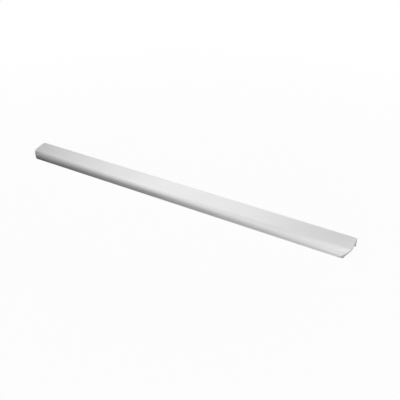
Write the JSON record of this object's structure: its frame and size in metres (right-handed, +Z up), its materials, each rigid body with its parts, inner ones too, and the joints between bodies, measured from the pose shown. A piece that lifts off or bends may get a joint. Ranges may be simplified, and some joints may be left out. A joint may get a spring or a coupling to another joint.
{
  "type": "edge pull",
  "caption": "Profile edge pull in satin aluminium: a flat plate over the front's edge, a bowed lip with rounded corners to pull on, and a rear flange with screw holes.",
  "frame": {"origin": "on the floor, below the middle of the length and depth, with the pull lying on its two feet", "axes": "+X along the length, +Y towards the flange, -Y towards the lip, +Z up; the plate slopes down 9.32 degrees towards the lip"},
  "size_m": [0.595, 0.0372, 0.016],
  "materials": {
    "satin_aluminium": "satin"
  },
  "bodies": {
    "root": {"pull_profile": "satin_aluminium"}
  },
  "joints": []
}
